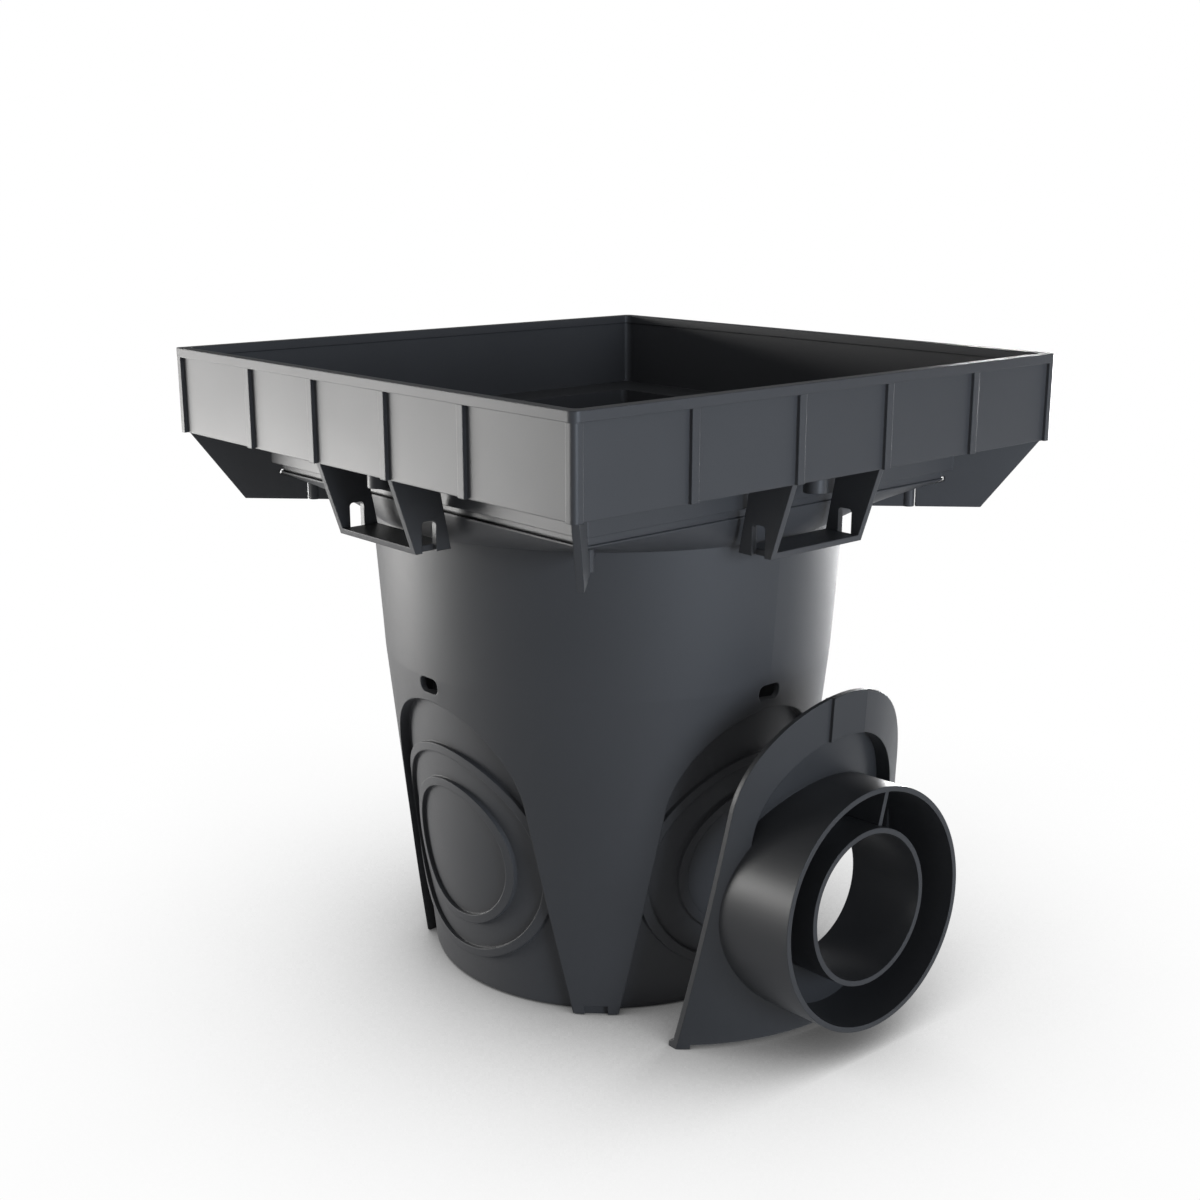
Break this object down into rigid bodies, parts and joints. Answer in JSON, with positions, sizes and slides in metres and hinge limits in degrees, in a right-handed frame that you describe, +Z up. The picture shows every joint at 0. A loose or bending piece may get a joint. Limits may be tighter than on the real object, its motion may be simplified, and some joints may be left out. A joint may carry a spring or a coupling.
{
  "type": "gully drain",
  "caption": "Square gully drain: ribbed square hopper on a tapering round bucket with arched knock-out panels, and a separate flanged pipe adapter standing beside it.",
  "frame": {"origin": "centre of the bucket's base, on the floor", "axes": "+Z up to the grate opening; X and Y square to the hopper's sides; the adapter stands on the +X side"},
  "size_m": [0.3462, 0.32, 0.3214],
  "materials": {
    "black_plastic": "satin charcoal black, moulded polypropylene"
  },
  "bodies": {
    "root": {"collar": "black_plastic", "bucket": "black_plastic", "pipe_adapter": "black_plastic"}
  },
  "joints": []
}
